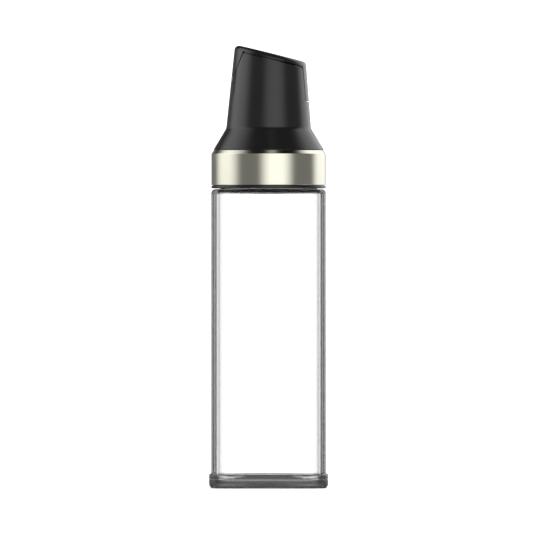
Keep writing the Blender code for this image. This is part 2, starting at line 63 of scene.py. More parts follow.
def cornerArc(before, corner, after, radius, steps):
    toBefore = before - corner
    toAfter = after - corner
    halfAngle = toBefore.angle(toAfter) / 2
    reach = min(radius / math.tan(halfAngle), min(toBefore.length, toAfter.length) * longestArc)
    radius = reach * math.tan(halfAngle)
    middle = (toBefore.normalized() + toAfter.normalized()).normalized()
    centre = corner + middle * (radius / math.sin(halfAngle))
    start = corner + toBefore.normalized() * reach - centre
    end = corner + toAfter.normalized() * reach - centre
    sweep = start.angle(end)
    points = []
    for step in range(steps + 1):
        share = step / steps
        first = start * math.sin((1 - share) * sweep)
        last = end * math.sin(share * sweep)
        points.append(centre + (first + last) / math.sin(sweep))
    return points


def supportPoint(end, towards, support):
    # One more point just past a rounding, where the flat beside it is long enough
    flat = towards - end
    return [end + flat.normalized() * support] if support and flat.length > support * supportRoom else []


def roundedLine(corners, closed=True, steps=counts["arc"], support=supportReach):
    # Each corner is across, up and radius; what follows these is kept with its points
    points = []
    count = len(corners)
    for index, (across, up, radius, *tag) in enumerate(corners):
        corner = Vector((across, up))
        atEnd = not closed and index in (0, count - 1)
        if radius == 0 or atEnd:
            points.append((across, up, *tag))
            continue
        before = Vector(corners[index - 1][:2])
        after = Vector(corners[(index + 1) % count][:2])
        arc = cornerArc(before, corner, after, radius, steps)
        arc = supportPoint(arc[0], before, support) + arc + supportPoint(arc[-1], after, support)
        points.extend((point.x, point.y, *tag) for point in arc)
    # Extra points that meet in the middle of a short flat are one point
    pairs = zip(points, points[-1:] + points)
    return [point for point, last in pairs if math.dist(point[:2], last[:2]) > weldDistance]


def loft(rings, closed=False):
    # A skin through rows of points, capped at both ends or joined round
    mesh = bmesh.new()
    rows = [[mesh.verts.new(point) for point in points] for points in rings]
    pairs = list(zip(rows, rows[1:]))
    if closed:
        pairs.append((rows[-1], rows[0]))
    for lower, upper in pairs:
        count = max(len(lower), len(upper))
        for index in range(count):
            after = (index + 1) % count
            corners = [lower[index % len(lower)]]
            if len(lower) > 1:
                corners.append(lower[after])
            if len(upper) > 1:
                corners.append(upper[after])
            corners.append(upper[index % len(upper)])
            mesh.faces.new(corners)
    if not closed:
        for end in (rows[0], rows[-1]):
            if len(end) > 1:
                mesh.faces.new(end)
    bmesh.ops.recalc_face_normals(mesh, faces=mesh.faces)
    return mesh


def circleRing(radius, height, segments):
    if radius == 0:
        return [Vector((0, 0, height))]
    points = []
    for index in range(segments):
        angle = 2 * math.pi * (index + 0.5) / segments
        points.append(Vector((radius * math.cos(angle), radius * math.sin(angle), height)))
    return points


def turned(outline, segments=counts["turned"], closed=True):
    return loft([circleRing(*point, segments) for point in outline], closed)


def turnedSolid(corners, segments, steps=counts["arc"], support=0):
    # A turned form whose line ends at its top and its bottom, or on the axis
    line = roundedLine(corners, closed=False, steps=steps, support=support)
    return turned(line, segments, closed=False)


def rod(radius, low, highEnd, segments=counts["small"], edge=0):
    # A round bar on the Z axis, its ends rounded where an edge is given
    if not edge:
        return turned([(radius, low), (radius, highEnd)], segments, closed=False)
    corners = [(0, low, 0), (radius, low, edge), (radius, highEnd, edge), (0, highEnd, 0)]
    return turnedSolid(corners, segments, counts["bar arc"], edge / 2)


def prism(outline, low, highEnd, axis="Y"):
    rings = []
    for place in (low, highEnd):
        if axis == "X":
            rings.append([Vector((place, across, up)) for across, up in outline])
        else:
            rings.append([Vector((across, place, up)) for across, up in outline])
    return loft(rings)


def addObject(name, data):
    added = bpy.data.objects.new(name, data)
    bpy.context.scene.collection.objects.link(added)
    return added


def makeObject(name, mesh):
    data = bpy.data.meshes.new(name)
    mesh.to_mesh(data)
    mesh.free()
    return addObject(name, data)


def cut(target, mesh, operation="DIFFERENCE"):
    # Takes the other form away, adds it or keeps what both share, then welds the seams
    tool = makeObject(f"{target.name}_tool", mesh)
    modifier = target.modifiers.new(operation.lower(), "BOOLEAN")
    modifier.operation = operation
    modifier.solver = "EXACT"
    modifier.object = tool
    bpy.context.view_layer.update()
    graph = bpy.context.evaluated_depsgraph_get()
    result = bpy.data.meshes.new_from_object(target.evaluated_get(graph))
    welded = bmesh.new()
    welded.from_mesh(result)
    bmesh.ops.remove_doubles(welded, verts=welded.verts, dist=weldDistance)
    welded.to_mesh(result)
    welded.free()
    target.modifiers.clear()
    target.data = result
    bpy.data.objects.remove(tool, do_unlink=True)


def meshOf(target):
    # Only the mesh, to cut or add with
    mesh = bmesh.new()
    mesh.from_mesh(target.data)
    bpy.data.objects.remove(target, do_unlink=True)
    return mesh


def finishPiece(piece, material, body, replaced, weighted=True):
    piece.data.materials.clear()
    piece.data.materials.append(material)
    piece.data.shade_smooth()
    piece.data.set_sharp_from_angle(angle=sharpAngle)
    if weighted:
        normals = piece.modifiers.new("flat faces stay flat", "WEIGHTED_NORMAL")
        normals.keep_sharp = True
        normals.weight = normalWeight
    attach(piece, body)
    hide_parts(replaced)
    print("made", piece.name, len(piece.data.polygons), "faces")


# Shader helpers and the groups that more than one material uses

def fill(tree, node, inputs):
    # Each input takes another node's socket, a number or a colour
    for key, value in inputs.items():
        if isinstance(value, bpy.types.NodeSocket):
            tree.links.new(value, node.inputs[key])
        elif value is not None:
            node.inputs[key].default_value = (*value, 1) if isinstance(value, tuple) else value
    return node


def mathNode(tree, operation, first, second=None, clamp=False):
    node = fill(tree, tree.nodes.new("ShaderNodeMath"), {0: first, 1: second})
    node.operation = operation
    node.use_clamp = clamp
    return node.outputs[0]


def product(tree, first, *others):
    for other in others:
        first = mathNode(tree, "MULTIPLY", first, other)
    return first


def noiseNode(tree, vector, scale, detail, roughness):
    inputs = {"Vector": vector, "Scale": scale, "Detail": detail, "Roughness": roughness}
    return fill(tree, tree.nodes.new("ShaderNodeTexNoise"), inputs).outputs["Fac"]


def splitPlace(tree, vector):
    return fill(tree, tree.nodes.new("ShaderNodeSeparateXYZ"), {0: vector}).outputs


def ramp(tree, value, start, end, low=0.0, high=1.0, kind="SMOOTHSTEP"):
    inputs = {"Value": value, "From Min": start, "From Max": end, "To Min": low, "To Max": high}
    node = fill(tree, tree.nodes.new("ShaderNodeMapRange"), inputs)
    node.interpolation_type = kind
    return node.outputs[0]


def between(tree, noise, low, high):
    # Noise keeps mostly to the middle half of its range
    return ramp(tree, noise, 0.25, 0.75, low, high, "LINEAR")


def colourBetween(tree, mask, low, high):
    node = tree.nodes.new("ShaderNodeMix")
    node.data_type = "RGBA"  # its sockets 6 and 7 take the two colours
    return fill(tree, node, {0: mask, 6: low, 7: high}).outputs[2]


def bumpOf(tree, height, look):
    inputs = {"Height": height, "Strength": look["bump"], "Distance": look["depth"]}
    return fill(tree, tree.nodes.new("ShaderNodeBump"), inputs).outputs[0]


def newGroup(name, numbers, outputs):
    # Every group takes a place on the piece and a few numbers
    tree = bpy.data.node_groups.new(name, "ShaderNodeTree")
    tree.interface.new_socket(name="Vector", in_out="INPUT", socket_type="NodeSocketVector")
    for label in numbers:
        tree.interface.new_socket(name=label, in_out="INPUT", socket_type="NodeSocketFloat")
    for label in outputs:
        tree.interface.new_socket(name=label, in_out="OUTPUT", socket_type="NodeSocketFloat")
    return tree, tree.nodes.new("NodeGroupInput").outputs, tree.nodes.new("NodeGroupOutput")


def mouldGrainGroup():
    # Fine spark-eroded grain of a moulded surface, and a slow drift in its gloss
    tree, given, end = newGroup("mouldGrain", ("Grain", "Drift"), ("Height", "Mask"))
    fill(tree, end, {
        "Height": noiseNode(tree, given["Vector"], given["Grain"], 2.0, 0.5),
        "Mask": noiseNode(tree, given["Vector"], given["Drift"], 3.0, 0.6),
    })
    return tree


def turnedLinesGroup():
    # Brushing that runs round the Z axis: long streaks round, fine lines up
    tree, given, end = newGroup("turnedLines", ("Lines", "Length"), ("Height", "Mask"))
    x, y, z = splitPlace(tree, given["Vector"])
    outwards = mathNode(tree, "SQRT", mathNode(tree, "ADD", product(tree, x, x), product(tree, y, y)))
    place = fill(tree, tree.nodes.new("ShaderNodeCombineXYZ"), {
        0: product(tree, mathNode(tree, "ARCTAN2", y, x), given["Length"]),
        1: product(tree, z, given["Lines"]),
        2: product(tree, outwards, given["Lines"]),
    }).outputs[0]
    lines = noiseNode(tree, place, 1.0, 3.0, 0.65)
    broad = noiseNode(tree, place, 0.12, 2.0, 0.5)
    mixed = mathNode(tree, "ADD", product(tree, lines, 0.6), product(tree, broad, 0.4))
    fill(tree, end, {"Height": lines, "Mask": mixed})
    return tree


def handlingGroup():
    # Faint smears of handling: patches with soft edges, broken up by fine noise
    tree, given, end = newGroup("handling", ("Patches", "Amount"), ("Mask",))
    patches = noiseNode(tree, given["Vector"], given["Patches"], 4.0, 0.6)
    fine = noiseNode(tree, given["Vector"], 420.0, 4.0, 0.7)
    raised = mathNode(tree, "MULTIPLY", mathNode(tree, "SUBTRACT", patches, 0.45), 4.0, clamp=True)
    fill(tree, end, {"Mask": product(tree, raised, fine, given["Amount"])})
    return tree


groups = {"grain": mouldGrainGroup(), "lines": turnedLinesGroup(), "handling": handlingGroup()}


# Materials

def startMaterial(name):
    material = bpy.data.materials.new(name)
    material.use_nodes = True
    return material, material.node_tree.nodes["Principled BSDF"]


def useGroup(tree, key, place, values):
    node = tree.nodes.new("ShaderNodeGroup")
    node.node_tree = groups[key]
    return fill(tree, node, {"Vector": place, **values}).outputs


def surfaceMaterial(name, look):
    # A fine texture drives colour, gloss and bump, and smears of handling dull the gloss here and there
    material, shader = startMaterial(name)
    tree = material.node_tree
    place = tree.nodes.new("ShaderNodeTexCoord").outputs["Object"]
    texture = useGroup(tree, look["texture"], place, look["scales"])
    rough = between(tree, texture["Mask"], look["smooth"], look["rough"])
    if "hands" in look:
        hands = useGroup(tree, "handling", place, look["hands"])
        rough = mathNode(tree, "ADD", rough, product(tree, hands["Mask"], look["smearRoughness"]))
    fill(tree, shader, {
        "Base Color": colourBetween(tree, texture["Mask"], look["dark"], look["light"]),
        "Roughness": rough,
        "Normal": bumpOf(tree, texture["Height"], look),
    })
    shader.inputs["Metallic"].default_value = look["metallic"]
    shader.inputs["IOR"].default_value = look["ior"]
    return material


def glassMaterial(name, look):
    material, shader = startMaterial(name)
    tree = material.node_tree
    place = tree.nodes.new("ShaderNodeTexCoord").outputs["Object"]
    hands = useGroup(tree, "handling", place, look["hands"])
    waves = useGroup(tree, "grain", place, {"Grain": look["waves"]})
    # Painted shade: the glass is coloured greyer in the upright corners, in the foot and at the shoulder, in
    # place of the dark bands that refraction shows there and, at the shoulder, the dark reflection of the cap
    x, y, height = splitPlace(tree, place)
    sides = [mathNode(tree, "ABSOLUTE", part) for part in (x, y)]
    along = mathNode(tree, "MINIMUM", *sides)
    corners = ramp(tree, along, *look["corners"])
    outside = ramp(tree, mathNode(tree, "MAXIMUM", *sides), *look["outside"])
    foot = product(tree, ramp(tree, height, *look["foot"]), outside)
    squares = [product(tree, side, side) for side in sides]
    # The painted shoulder shade also covers the circle under the ring and the cap
    underRing = ramp(tree, mathNode(tree, "ADD", *squares), *(radius ** 2 for radius in look["underRing"]))
    root = product(tree, underRing, ramp(tree, height, *look["neckRoot"]))
    shoulder = product(tree, ramp(tree, height, *look["shoulder"]), mathNode(tree, "MAXIMUM", outside, root))
    colour = colourBetween(tree, corners, (1, 1, 1), look["cornerPaintedShade"])
    colour = colourBetween(tree, foot, colour, look["footPaintedShade"])
    colour = colourBetween(tree, shoulder, colour, look["shoulderPaintedShade"])
    # Painted highlights and painted shade: light and dark streaks in each side of the foot, in place of the
    # light that refraction bends through it where it is clear from face to face
    for middle, slope, reach, fadeIn, fadeOut, streakPaintedGrey in look["paintedFootStreaks"]:
        middle -= slope * look["fork"]
        offset = mathNode(tree, "SUBTRACT", height, product(tree, along, slope))
        mask = product(
            tree,
            ramp(tree, offset, middle, middle + reach, 1, 0),
            ramp(tree, offset, middle - reach, middle),
            ramp(tree, along, *fadeIn),
            ramp(tree, along, *fadeOut, 1, 0),
            outside,
        )
        colour = colourBetween(tree, mask, colour, streakPaintedGrey)
    fill(tree, shader, {
        "Base Color": colour,
        "Roughness": product(tree, hands["Mask"], look["smearRoughness"]),
        "Normal": bumpOf(tree, waves["Height"], look),
    })
    shader.inputs["Transmission Weight"].default_value = 1
    shader.inputs["IOR"].default_value = look["ior"]
    soak = tree.nodes.new("ShaderNodeVolumeAbsorption")
    soak.inputs["Color"].default_value = (*look["tint"], 1)
    soak.inputs["Density"].default_value = look["density"]
    fill(tree, tree.nodes["Material Output"], {"Volume": soak.outputs[0]})
    return material


clearGlass = glassMaterial("clearGlass", {
    "ior": 1.5, "tint": (0.06, 0.055, 0.06), "density": 12.0, "waves": 60.0, "bump": 0.02, "depth": 0.00002,
    "hands": {"Patches": 22.0, "Amount": 0.5}, "smearRoughness": 0.02,
    # Where each painted shade fades in, from and to: places beside the axis, heights, or distances from the
    # axis
    "outside": (0.0300, 0.0316), "corners": (0.0230, 0.0302), "foot": (0.0078, 0.0076),
    "shoulder": (0.1671, 0.1677), "underRing": (0.0330, 0.0322), "neckRoot": (0.1800, 0.1698),
    # Greys of the painted shade in the corners, the foot and the shoulder
    "cornerPaintedShade": (0.45, 0.45, 0.46), "footPaintedShade": (0.095, 0.09, 0.09), "shoulderPaintedShade": (0.15, 0.145, 0.145),
    # Each painted streak's height, slope and reach, where it fades in and out beside the axis, and its grey;
    # greys lighter than the foot's are painted highlights, darker ones painted shade
    "paintedFootStreaks": [
        (0.0040, 0, 0.0045, (0.026, 0.029), (0.040, 0.041), (0.035, 0.035, 0.035)),
        (0.0020, 0, 0.0021, (-0.001, 0), (0.024, 0.030), (0.16, 0.165, 0.18)),
        (0.0074, 0, 0.0004, (-0.001, 0), (0.012, 0.018), (0.03, 0.03, 0.03)),
        (0.0045, 0, 0.0007, (-0.001, 0), (0.024, 0.028), (0.60, 0.60, 0.60)),
        (0.0064, 0.21, 0.0011, (0.0185, 0.0220), (0.0275, 0.0300), (1.0, 1.0, 1.0)),
        (0.0063, -0.11, 0.0011, (0.0120, 0.0180), (0.0265, 0.0290), (1.0, 1.0, 1.0)),
    ],
    "fork": 0.0219,  # how far beside the axis the slanted streaks have their height
})
blackPlastic = surfaceMaterial("blackPlastic", {
    "dark": (0.0072, 0.0072, 0.0075), "light": (0.0098, 0.0098, 0.0102), "smooth": 0.19, "rough": 0.26,
    "texture": "grain", "scales": {"Grain": 2600.0, "Drift": 45.0}, "bump": 0.18, "depth": 0.00002,
    "metallic": 0, "ior": 1.5, "hands": {"Patches": 30.0, "Amount": 0.5}, "smearRoughness": 0.1,
})
innerPlastic = surfaceMaterial("innerPlastic", {
    "dark": (0.012, 0.012, 0.013), "light": (0.018, 0.018, 0.019), "smooth": 0.38, "rough": 0.48,
    "texture": "grain", "scales": {"Grain": 1800.0, "Drift": 60.0}, "bump": 0.25, "depth": 0.00002,
    "metallic": 0, "ior": 1.49, "hands": {"Patches": 40.0, "Amount": 0.3}, "smearRoughness": 0.1,
})
satinSteel = surfaceMaterial("satinSteel", {
    "dark": (0.715, 0.70, 0.59), "light": (0.755, 0.74, 0.63), "smooth": 0.16, "rough": 0.20,
    "texture": "lines", "scales": {"Lines": 9000.0, "Length": 5.0}, "bump": 0.08, "depth": 0.00001,
    "metallic": 1, "ior": 1.5, "hands": {"Patches": 40.0, "Amount": 0.5}, "smearRoughness": 0.12,
})
brightSteel = surfaceMaterial("brightSteel", {
    "dark": (0.52, 0.52, 0.53), "light": (0.68, 0.68, 0.69), "smooth": 0.18, "rough": 0.32,
    "texture": "lines", "scales": {"Lines": 6000.0, "Length": 3.0}, "bump": 0.3, "depth": 0.00001,
    "metallic": 1, "ior": 1.5, "hands": {"Patches": 60.0, "Amount": 0.3}, "smearRoughness": 0.12,
})
silicone = surfaceMaterial("silicone", {
    "dark": (0.70, 0.70, 0.68), "light": (0.80, 0.80, 0.78), "smooth": 0.45, "rough": 0.60,
    "texture": "grain", "scales": {"Grain": 1500.0, "Drift": 80.0}, "bump": 0.2, "depth": 0.00002,
    "metallic": 0, "ior": 1.5,
})
print("materials:", len(bpy.data.materials))


# Glass bottle

glass = {
    "half": 0.0325, "corner": 0.008, "wall": 0.0040, "footStep": 0.00125, "footHeight": 0.0078,
    "heel": 0.0038, "footEdge": 0.0009, "floor": 0.0070, "floorFillet": 0.0010, "bearing": 0.006,
    "recess": 0.0012, "recessRun": 0.0018, "dome": 0.0042, "sag": 0.0008, "innerCorner": 0.0020,
    "shoulder": 0.1693, "shoulderEdge": 0.0023, "shoulderPlate": 0.0019, "crown": 0.0004,
    "shoulderInner": 0.0006, "neckRadius": 0.027, "mouthRadius": 0.0236, "neckRoot": 0.0012,
    "rim": 0.185, "rimEdge": 0.0009, "threadFoot": 0.1750, "threadReach": 0.0014,
}
thread = {
    "pitch": 0.004, "turns": 1.5, "width": 0.0026, "step": 0.0002,
    "fadeTurns": 35 / 360,  # part of a turn in which each end of the ridge fades out
}


def threadRise(angle, height, foot):
    # How far a helical ridge stands out at this angle and height, from 0 to 1
    best = 0
    turn = angle / (2 * math.pi)
    while turn <= thread["turns"]:
        offset = abs(height - foot - thread["pitch"] * turn) / (thread["width"] / 2)
        if offset < 1:
            ends = min(turn / thread["fadeTurns"], (thread["turns"] - turn) / thread["fadeTurns"], 1)
            best = max(best, (0.5 + 0.5 * math.cos(math.pi * offset)) * ends * ends * (3 - 2 * ends))
        turn += 1
    return best


def threadedRows(circle, radius, start, end, piece):
    # The rows of a round wall with a thread on it, between its first and its last row
    rows = []
    steps = round(abs(end - start) / thread["step"])
    for step in range(1, steps):
        height = start + (end - start) * step / steps
        row = []
        for spot in circle:
            angle = math.atan2(spot.y, spot.x) % (2 * math.pi)
            scale = 1 + piece["threadReach"] * threadRise(angle, height, piece["threadFoot"]) / radius
            row.append(Vector((spot.x * scale, spot.y * scale, height)))
        rows.append(row)
    return rows


def squareRing(half, height, roundness, corner=None):
    # A rounded square, or a circle at roundness 1; two more points keep each flat flat
    if corner is None:
        corner = max(glass["corner"] + half - glass["half"], glass["innerCorner"])
    corner = min(corner, half)
    centre = half - corner
    steps = counts["bottle corner"]
    points = []
    for quarter in range(4):
        turn = Matrix.Rotation(quarter * math.pi / 2, 3, "Z")
        for step in range(steps + 3):
            angle = math.pi / 4 + (step - steps / 2) * (math.pi / 2) / (steps + 3)
            onCircle = Vector((half * math.cos(angle), half * math.sin(angle), height))
            if step <= steps:
                angle = math.pi / 2 * step / steps
                x, y = centre + corner * math.cos(angle), centre + corner * math.sin(angle)
            else:
                side = 1 if step == steps + 1 else -1
                x, y = side * (centre - min(supportRoom * supportReach, centre / 2)), half
            points.append(turn @ Vector((x, y, height)).lerp(onCircle, roundness))
    return points


def glassBottle():
    half = glass["half"]
    footHalf = half + glass["footStep"]
    recessHalf = footHalf - glass["bearing"]
    innerHalf = half - glass["wall"]
    innerShoulder = glass["shoulder"] - glass["shoulderPlate"]
    neck, mouth = glass["neckRadius"], glass["mouthRadius"]
    inner = glass["innerCorner"]
    # Half width, height, rounding, roundness seen from above and, inside the body, the corners' radius
    line = roundedLine([
        (recessHalf - glass["recessRun"], glass["recess"], 0, 0),
        (recessHalf, 0, glass["recess"], 0),
        (footHalf, 0, glass["heel"], 0),
        (footHalf, glass["footHeight"], glass["footEdge"], 0),
        (half, glass["footHeight"], glass["footEdge"], 0),
        (half, glass["shoulder"], glass["shoulderEdge"], 0),
        (neck, glass["shoulder"] + glass["crown"], glass["neckRoot"], 1),
        (neck, glass["rim"], glass["rimEdge"], 1),
        (mouth, glass["rim"], glass["rimEdge"], 1),
        (mouth, innerShoulder, glass["shoulderEdge"], 1),
        (innerHalf, innerShoulder, glass["shoulderInner"], 0, inner),
        (innerHalf, glass["floor"], glass["floorFillet"], 0, inner),
        (innerHalf - 2 * glass["floorFillet"], glass["floor"], 0, 0, inner),
    ], closed=False)
    shares = [step / counts["bottle middle"] for step in range(1, counts["bottle middle"])]
    rows = []
    # The push-up under the base, from its middle out to the bearing ring
    for share in shares:
        height = glass["recess"] + (glass["dome"] - glass["recess"]) * (1 - share ** 2) ** 2
        rows.append(squareRing(line[0][0] * share, height, 1 - share ** 3, glass["corner"] * share))
    for point, after in zip(line, [*line[1:], line[-1]]):
        rows.append(squareRing(*point))
        low, top = point[1], after[1]
        isNeckWall = max(abs(point[0] - neck), abs(after[0] - neck)) < weldDistance
        if isNeckWall and top - low > 2 * supportReach:
            rows += threadedRows(squareRing(neck, 0, 1), neck, low, top, glass)
    # The inner floor, from its rim to its middle
    for share in shares[::-1]:
        height = glass["floor"] - glass["sag"] * (1 - share ** 4)
        rows.append(squareRing(line[-1][0] * share, height, 1 - share, inner + glass["corner"] * (1 - share)))
    return makeObject("glassBottle", loft(rows))


finishPiece(glassBottle(), clearGlass, "bottle", "glass_bottle", weighted=False)


# Gasket, cap and ring, stacked on the rim of the glass

gasket = {"thickness": 0.0017, "edge": 0.00051}
cap = {
    "bore": 0.0288, "throat": 0.0245, "bottom": 0.1700, "lip": 0.0015, "flange": 0.0015, "collar": 0.0284,
    "collarWall": 0.0018, "collarHeight": 0.0028, "bead": 0.0004, "beadHeight": 0.0010, "edge": 0.00035,
    "lipEdge": 0.00021, "beadEdge": 0.000105, "throatEdge": 0.000175,
    "threadFoot": 0.1728, "threadReach": -0.0012,  # below 0, because it stands inwards
}
steel = {
    "radius": 0.0325, "sheet": 0.0006, "bevelWidth": 0.0015, "bevelHeight": 0.0021,
    "edge": 0.00025, "hemEdge": 0.0002, "innerEdge": 0.00015,
}
insertFlange = 0.0017  # thickness of the pour insert's flange, which lies between gasket and cap

gasketBottom = glass["rim"] + gap
flangeBottom = gasketBottom + gasket["thickness"] + gap
flangeTop = flangeBottom + insertFlange
capFlangeBottom = flangeTop + gap
capTop = capFlangeBottom + cap["flange"]
ringTop = capTop + gap + steel["sheet"]
shellBottom = ringTop + gap
lipTop = cap["bottom"] + cap["lip"]


def neckGasket():
    low, top, edge = gasketBottom, gasketBottom + gasket["thickness"], gasket["edge"]
    inner, outer = glass["mouthRadius"], glass["neckRadius"]
    line = [(inner, low, edge), (outer, low, edge), (outer, top, edge), (inner, top, edge)]
    return makeObject("neckGasket", turned(roundedLine(line, steps=counts["gasket arc"])))


def bevelLine(innerRadius, bottom):
    return [
        (steel["radius"], bottom),
        (steel["radius"], ringTop - steel["bevelHeight"]),
        (steel["radius"] - steel["bevelWidth"], ringTop),
        (innerRadius, ringTop),
    ]


def insetLine(points, distance):
    line = [Vector(point) for point in points]
    normals = []
    for start, end in zip(line, line[1:]):
        along = (end - start).normalized()
        normals.append(Vector((-along.y, along.x)))
    moved = [line[0] + normals[0] * distance]
    for point, left, right in zip(line[1:-1], normals, normals[1:]):
        moved.append(point + (left + right) * (distance / (1 + left.dot(right))))
    moved.append(line[-1] + normals[-1] * distance)
    return [(point.x, point.y) for point in moved]


def screwCap():
    insideRing = insetLine(bevelLine(cap["collar"], lipTop), steel["sheet"] + gap)
    beadFoot = shellBottom + gap
    collar, collarTop = cap["collar"], capTop + cap["collarHeight"]
    collarInner = collar - cap["collarWall"]
    edge = cap["edge"]
    points = roundedLine([
        (cap["bore"], cap["bottom"], edge),
        (steel["radius"], cap["bottom"], edge),
        (steel["radius"], lipTop, cap["lipEdge"]),
        (insideRing[0][0], lipTop, 0),
        (*insideRing[1], 0),
        (*insideRing[2], 0),
        (collar, capTop, 0),
        (collar, beadFoot, 0),
        (collar + cap["bead"], beadFoot + cap["beadHeight"] / 2, cap["beadEdge"]),
        (collar, beadFoot + cap["beadHeight"], 0),
        (collar, collarTop, edge),
        (collarInner, collarTop, edge),
        (collarInner, capTop, edge),
        (cap["throat"], capTop, cap["throatEdge"]),
        (cap["throat"], capFlangeBottom, cap["throatEdge"]),
        (cap["bore"], capFlangeBottom, edge),
    ], steps=counts["fine arc"], support=fineSupport)
    rows = [circleRing(*point, counts["turned"]) for point in points]
    # The bore's wall runs from the last point back down to the first
    bore = circleRing(cap["bore"], 0, counts["turned"])
    rows += threadedRows(bore, cap["bore"], points[-1][1], points[0][1], cap)
    return makeObject("screwCap", loft(rows, closed=True))


def steelRing():
    edges = (steel["hemEdge"], steel["edge"], steel["edge"], steel["innerEdge"])
    outside = bevelLine(cap["collar"] + cap["bead"] + gap, lipTop + gap)
    inside = insetLine(outside, steel["sheet"])
    line = [(*point, edge) for point, edge in zip(outside, edges)]
    line += [(*point, edge) for point, edge in zip(inside[::-1], edges[::-1])]
    return makeObject("steelRing", turned(roundedLine(line, steps=counts["fine arc"], support=fineSupport)))


finishPiece(neckGasket(), silicone, "gasket", "neck_gasket")
finishPiece(screwCap(), blackPlastic, "head", "screw_cap")
finishPiece(steelRing(), satinSteel, "head", "steel_ring")


# The form that the shell and the lid share

head = {
    "coneBase": 0.0313, "coneHeight": 0.0121, "waistRadius": 0.02408, "waistFillet": 0.004,
    "taper": math.radians(5.18), "wall": 0.002, "landHeight": 0.002, "towerHeight": 0.04265,
    "slope": math.radians(13.92), "topEdge": 0.0025, "topRoom": 0.0093,
    "seam": 0.00025, "footEdge": 0.00025, "footRound": 0.0001, "lean": 0.014,
}
lid = {
    "band": 0.0031, "plate": 0.0018, "notchInset": 0.00578, "notchLean": math.radians(22.7),
    "lipEndRise": 0.0007, "relief": 0.0007, "reliefDepth": 0.0012, "tailWidth": 0.0168, "tailLength": 0.01618,
    "tailEndGap": 0.0003, "tailCorner": 0.0012, "frontGap": 0.00005,
}
groove = {
    "width": 0.0012, "depth": 0.0012, "frontWidth": 0.0006,
    "tailWidth": 0.0009, "tailEnd": 0.0004, "tailDepth": 0.0006,
}
hinge = {
    "pinInset": 0.00522, "pinDepth": 0.0069, "pinRadius": 0.001, "pinCover": 0.00294, "pinEdge": 0.0002,
    "knuckle": 0.0023, "boss": 0.0032, "bossDepth": 0.0045, "openAngle": math.radians(60),
}
weight = {
    "radius": 0.004, "length": 0.0132, "edge": 0.0004, "boxWall": 0.0012, "backWall": 0.00246,
    "cover": 0.0012, "coverEdge": 0.0002, "coverAngle": math.radians(38),
}

waistHeight = shellBottom + head["coneHeight"]
topHeight = waistHeight + head["towerHeight"]
cutReach = head["coneBase"] + overrun
high = topHeight + overrun
fall = math.tan(head["slope"])
narrowing = math.tan(head["taper"])


def planeHeight(depth, x):
    return topHeight - depth / math.cos(head["slope"]) - x * fall


def towerRadius(height, inset=0):
    return head["waistRadius"] - (height - waistHeight) * narrowing - inset


def planeRadius(depth, inset, facing):
    return towerRadius(planeHeight(depth, 0), inset) / (1 - facing * narrowing * fall)


notchX = -planeRadius(lid["band"], lid["notchInset"], -1)
pinX = planeRadius(hinge["pinDepth"], hinge["pinInset"], 1)
pinZ = planeHeight(hinge["pinDepth"], pinX)
pinLength = 2 * (math.sqrt(towerRadius(pinZ) ** 2 - pinX ** 2) - hinge["pinCover"])
hingePoint = Vector((pinX, 0, pinZ))


def frontCut(height, shift):
    notchHeight = planeHeight(lid["band"], notchX)
    return notchX + (height - notchHeight) * math.tan(lid["notchLean"]) + shift / math.cos(lid["notchLean"])


def frontCorner(depth, shift):
    x = frontCut(planeHeight(depth, 0), shift) / (1 + math.tan(lid["notchLean"]) * fall)
    return x, planeHeight(depth, x)


frontFoot = (-towerRadius(0) - frontCut(0, 0)) / (math.tan(lid["notchLean"]) - narrowing)
lipEnd = frontFoot + lid["lipEndRise"]
tailEnd = pinZ - lid["tailLength"]
pocketHeight = 2 * (weight["radius"] + gap)
pocketWidth = weight["length"] + 2 * gap
boxBottom = tailEnd + gap
boxTop = boxBottom + pocketHeight + 2 * weight["boxWall"]
boxHalf = pocketWidth / 2 + weight["boxWall"]
pocketBack = towerRadius(boxTop) - weight["backWall"]
weightZ = (boxBottom + boxTop) / 2
weightX = pocketBack - gap - weight["radius"]
boxFront = weightX - weight["radius"] - gap - weight["cover"]


def slantedRings(inset, depth, edgeRadius):
    # The rows of the tower's end, which a slanted plane cuts, with its edge rounded where a radius is given
    columns = []
    for start in circleRing(1, 0, counts["head"]):
        drop = start.x * fall
        radius = planeRadius(depth, inset, start.x)
        corner = Vector((radius, planeHeight(depth, 0) - radius * drop))
        below = corner + Vector((narrowing, -1)) * head["topRoom"]
        inward = corner + Vector((-1, drop)) * head["topRoom"]
        arc = [corner]
        if edgeRadius:
            arc = cornerArc(below, corner, inward, edgeRadius, counts["head arc"])
            first = supportPoint(arc[0], below, supportReach)
            arc = first + arc + supportPoint(arc[-1], inward, supportReach)
        columns.append([Vector((start.x * point.x, start.y * point.x, point.y)) for point in arc])
    return [list(row) for row in zip(*columns)]


def headForm():
    edge = head["footEdge"]
    foot = shellBottom - head["seam"]
    line = [
        (head["coneBase"] - edge, foot, 0),
        (head["coneBase"], foot + edge, head["footRound"]),
        (head["waistRadius"], waistHeight, head["waistFillet"]),
        (towerRadius(tailEnd), tailEnd, 0),
    ]
    line = roundedLine(line, closed=False, steps=counts["waist arc"])
    rows = [circleRing(*point, counts["head"]) for point in line] + slantedRings(0, 0, head["topEdge"])
    for row in rows:
        for point in row:
            point.x += head["lean"] * max(point.z - waistHeight, 0)
    return loft(rows)


def towerCore(inset, low, depth=None):
    segments = counts["head"]
    foot = [circleRing(towerRadius(low, inset), low, segments)]
    if depth is None:
        top = high + overrun
        return loft(foot + [circleRing(towerRadius(top, inset), top, segments)])
    return loft(foot + slantedRings(inset, depth, 0))


def rightThrough(outline):
    # A cutting form that runs through the head from side to side
    return prism(outline, -cutReach, cutReach)


